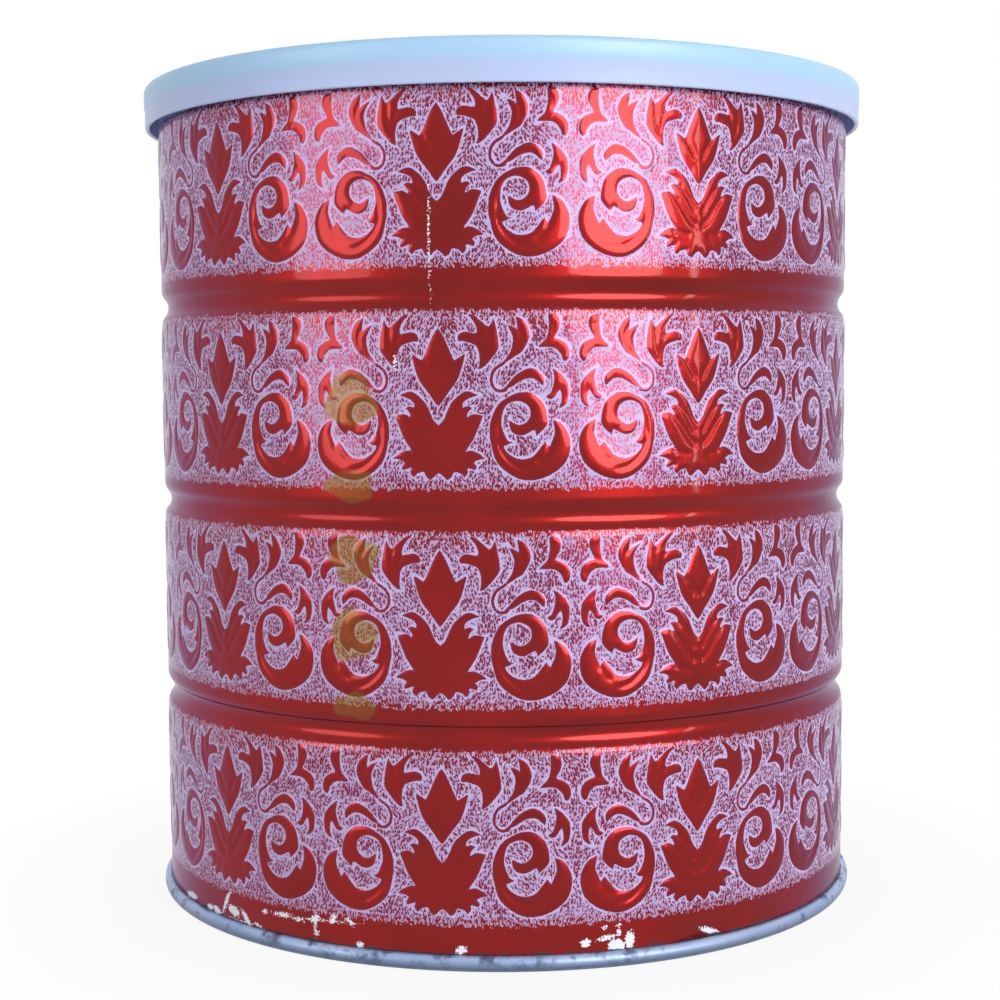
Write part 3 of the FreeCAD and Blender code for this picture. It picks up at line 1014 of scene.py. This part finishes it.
class CAN_OT_upper_seam(PieceOperator, bpy.types.Operator):
    """Adds the top of the wall with its double seam, under the lid"""

    bl_idname = "coffee_can.upper_seam"
    bl_label = "Upper seam"

    def build(self, sizes, colours):
        wall = WALL_RADIUS * MM
        start = (BAND_FOOT + (BANDS - 1) * BAND_PITCH + BAND_HIGH) * MM
        seam_foot = CAN_TOP - SEAM_TOP
        outer = SEAM_RADIUS - SEAM_ROUNDING
        inner = wall - CHUCK_INSET
        profile = [(wall, start), (wall, seam_foot)]
        profile += arc((outer, seam_foot + SEAM_ROUNDING), SEAM_ROUNDING, -90, 0, 4)
        profile += arc((outer, CAN_TOP - SEAM_ROUNDING), SEAM_ROUNDING, 0, 90, 4)
        profile += arc((inner + SEAM_ROUNDING, CAN_TOP - SEAM_ROUNDING), SEAM_ROUNDING, 90, 180, 4)
        profile += [(inner - 0.0006, CAN_TOP - TOP_RECESS), (POLE_RADIUS, CAN_TOP - TOP_RECESS)]
        piece = turn_profile(profile)
        close_and_smooth(50, face_outwards=False)
        tin = shared_material(bare_tin, colours)
        finish_piece(piece, "upper_seam", tin, "red_tinplate", "can_body")


class CAN_OT_bottom_end(PieceOperator, bpy.types.Operator):
    """Adds the bottom end: the lower double seam and the pressed panels under the can"""

    bl_idname = "coffee_can.bottom_end"
    bl_label = "Bottom end"

    def build(self, sizes, colours):
        wall = WALL_RADIUS * MM
        chuck = wall - CHUCK_INSET
        half_height, half_depth, round_under = SEAM_TOP / 2, 0.0012, 0.0008
        profile = [(wall - 0.0003, SEAM_TOP - 0.0009), (wall + 0.0001, SEAM_TOP - 0.0007)]
        for step in range(29):
            turn = math.radians(130 - 220 * step / 28)
            across = SEAM_RADIUS - half_depth + half_depth * math.cos(turn)
            profile.append((across, half_height + half_height * math.sin(turn)))
        profile += arc((chuck + round_under, round_under), round_under, -90, -180, 8)
        profile += [
            (chuck - 0.0006, 0.0035), (chuck - 0.0009, 0.0038), (chuck - 0.0035, 0.0038),
            (chuck - 0.0042, 0.0035), (chuck - 0.0048, 0.0030), (chuck - 0.0060, 0.0029),
            (0.0552, 0.0029), (0.0546, 0.0027), (0.0542, 0.0024), (0.0536, 0.0023),
            (POLE_RADIUS, 0.0023),
        ]
        piece = turn_profile(profile)
        close_and_smooth(50)
        tin = shared_material(bare_tin, colours)
        finish_piece(piece, "bottom_seam_and_end", tin, "bare_tinplate", "bottom_end")


class CAN_OT_lid(PieceOperator, bpy.types.Operator):
    """Adds the plastic lid with its skirt, rim, well and ribs"""

    bl_idname = "coffee_can.lid"
    bl_label = "Lid"

    def build(self, sizes, colours):
        low, top = LID_LOW.z, LID_HIGH.z
        wall = 0.00115
        skirt_inside = LID_RADIUS - wall
        plug = (WALL_RADIUS - 1.5) * MM
        well = plug - wall
        under = CAN_TOP - TOP_RECESS
        floor = under + wall
        step = low + (top - low) * 0.52
        profile = [(plug, under), (plug, top - wall), (skirt_inside, top - wall)]
        profile += [(skirt_inside, low + 0.0042), (skirt_inside - 0.0007, low + 0.0035)]
        profile += [(skirt_inside, low + 0.0023)]
        profile += arc((skirt_inside + 0.0004, low + 0.0004), 0.0004, 180, 270, 4)
        profile += arc((LID_RADIUS - 0.00055, low + 0.0004), 0.0004, -90, 0, 4)
        profile += [(LID_RADIUS - 0.00015, step - 0.0002), (LID_RADIUS, step + 0.0001)]
        profile += arc((LID_RADIUS - 0.0013, top - 0.0013), 0.0013, 0, 90, 8)
        profile += arc((well + 0.0008, top - 0.0008), 0.0008, 90, 180, 6)
        profile += arc((well - 0.0005, floor + 0.0005), 0.0005, 0, -90, 4)
        for rib in (0.060, 0.036):
            profile += [
                (rib + 0.0012, floor), (rib + 0.0006, floor + 0.0005),
                (rib - 0.0006, floor + 0.0005), (rib - 0.0012, floor),
            ]
        profile += [(POLE_RADIUS, floor)]
        piece = turn_profile(profile, steps=288)
        close_and_smooth(40)
        plastic = shared_material(lid_plastic, colours)
        finish_piece(piece, "plastic_lid", plastic, "blue_plastic", "lid")


def background_share(finish):
    """1 for rays that show the background: straight from the eye, mirrored or seen through."""
    path = finish.node("LightPath")
    clear = finish.plus(path.outputs["Is Camera Ray"], path.outputs["Is Glossy Ray"])
    clear = finish.plus(clear, path.outputs["Is Transmission Ray"])
    return finish.maths("MINIMUM", clear, 1.0)


def pale_floor():
    """Pale floor with a soft shadow under the can, and white farther off."""
    finish = Finish("pale_floor")
    tree = finish.tree
    finish.set(Base_Color=(0.8, 0.8, 0.82, 1), Roughness=0.9)
    glow = finish.node("Emission", {"Color": (1, 1, 1, 1), "Strength": 1.0})
    place = finish.node("TexCoord").outputs["Object"]
    away = finish.node("VectorMath", {0: place}, operation="LENGTH").outputs["Value"]
    white = finish.ramp(away, SEAM_RADIUS, SEAM_RADIUS + 0.06, 0.9, 1.0)
    share = finish.times(background_share(finish), white)
    mixed = finish.node("MixShader", {0: share, 1: finish.shader.outputs[0], 2: glow.outputs[0]})
    tree.links.new(mixed.outputs[0], tree.nodes["Material Output"].inputs["Surface"])
    return finish.material


class WorldFinish(Finish):
    """Node tree of the world, with the same short calls."""

    def __init__(self):
        self.world = bpy.data.worlds.new("studio")
        self.world.use_nodes = True
        self.tree = self.world.node_tree


def studio_world():
    """White background for all that shows it, and a level grey light for dull surfaces."""
    finish = WorldFinish()
    shown = finish.mix(background_share(finish), (0.32, 0.32, 0.32, 1), (1, 1, 1, 1))
    background = finish.tree.nodes["Background"]
    finish.tree.links.new(shown, background.inputs["Color"])
    background.inputs["Strength"].default_value = 1.0
    return finish.world


class CAN_OT_stage(bpy.types.Operator):
    """Adds the floor, the lamps, the world and the camera"""

    bl_idname = "coffee_can.stage"
    bl_label = "Stage"

    def execute(self, context):
        self.add_floor()
        self.add_lamps()
        context.scene.world = studio_world()
        context.scene.view_settings.view_transform = "Standard"
        self.add_camera(context.scene, context.scene.can_stage)
        return {"FINISHED"}

    def add_floor(self):
        deselect()
        bpy.ops.mesh.primitive_plane_add(size=12, location=(0, 0, 0))
        floor = bpy.context.object
        floor.name = "floor"
        floor.data.materials.append(pale_floor())

    def add_lamps(self):
        lamps = [
            ("key_lamp", (0.95, -1.35, 0.5), (1.1, 1.1), 19.0),
            ("strip_lamp", (1.4, -0.75, 0.3), (0.08, 0.8), 1.3),
            ("fill_lamp", (-1.4, -1.0, 0.4), (0.9, 0.9), 5.5),
            ("back_lamp", (0.3, 1.6, 1.3), (1.0, 1.0), 9.0),
        ]
        target = Vector((0, 0, (LID_HIGH.z + END_LOW.z) / 2))
        for name, place, size, power in lamps:
            bpy.ops.object.light_add(type="AREA", location=place)
            lamp = bpy.context.object
            lamp.name = name
            lamp.data.shape = "ELLIPSE"
            lamp.data.size, lamp.data.size_y = size
            lamp.data.energy = power
            lamp.rotation_mode = "QUATERNION"
            lamp.rotation_quaternion = (target - Vector(place)).to_track_quat("-Z", "Y")

    def add_camera(self, scene, stage):
        ahead = Vector((
            math.sin(stage.yaw) * math.cos(stage.pitch),
            math.cos(stage.yaw) * math.cos(stage.pitch),
            -math.sin(stage.pitch),
        ))
        level = Vector((math.cos(stage.yaw), -math.sin(stage.yaw), 0))
        up = level.cross(ahead)
        right = level * math.cos(stage.roll) + up * math.sin(stage.roll)
        upright = up * math.cos(stage.roll) - level * math.sin(stage.roll)
        data = bpy.data.cameras.new("camera")
        camera = bpy.data.objects.new("camera", data)
        scene.collection.objects.link(camera)
        data.sensor_width = 36
        data.lens = stage.lens
        data.clip_start, data.clip_end = 0.01, 50
        place = Vector((0, -stage.camera_distance, stage.camera_height))
        axes = Matrix((right, upright, -ahead)).transposed()
        camera.matrix_world = Matrix.LocRotScale(place, axes.to_quaternion(), None)
        scene.camera = camera


class CAN_PT_panel(bpy.types.Panel):
    """Sidebar panel with the can's settings and one button for each piece"""

    bl_label = "Coffee Can"
    bl_idname = "CAN_PT_panel"
    bl_space_type = "VIEW_3D"
    bl_region_type = "UI"
    bl_category = "Coffee Can"

    def draw(self, context):
        layout = self.layout
        for group in (context.scene.can_sizes, context.scene.can_colours, context.scene.can_stage):
            box = layout.box()
            for name in group.__annotations__:
                box.prop(group, name)
        for operator in OPERATORS:
            layout.operator(operator.bl_idname)


GROUPS = {"can_sizes": CanSizes, "can_colours": CanColours, "can_stage": StageSettings}
OPERATORS = (
    CAN_OT_bands,
    CAN_OT_beads,
    CAN_OT_upper_seam,
    CAN_OT_bottom_end,
    CAN_OT_lid,
    CAN_OT_stage,
)


def register():
    for group in (*GROUPS.values(), *OPERATORS, CAN_PT_panel):
        bpy.utils.register_class(group)
    for name, group in GROUPS.items():
        setattr(bpy.types.Scene, name, PointerProperty(type=group))


def unregister():
    for name in GROUPS:
        delattr(bpy.types.Scene, name)
    for group in reversed((*GROUPS.values(), *OPERATORS, CAN_PT_panel)):
        bpy.utils.unregister_class(group)


def main():
    register()
    bpy.ops.coffee_can.bands()
    bpy.ops.coffee_can.beads()
    bpy.ops.coffee_can.upper_seam()
    bpy.ops.coffee_can.bottom_end()
    bpy.ops.coffee_can.lid()
    bpy.ops.coffee_can.stage()


if __name__ == "__main__":
    main()
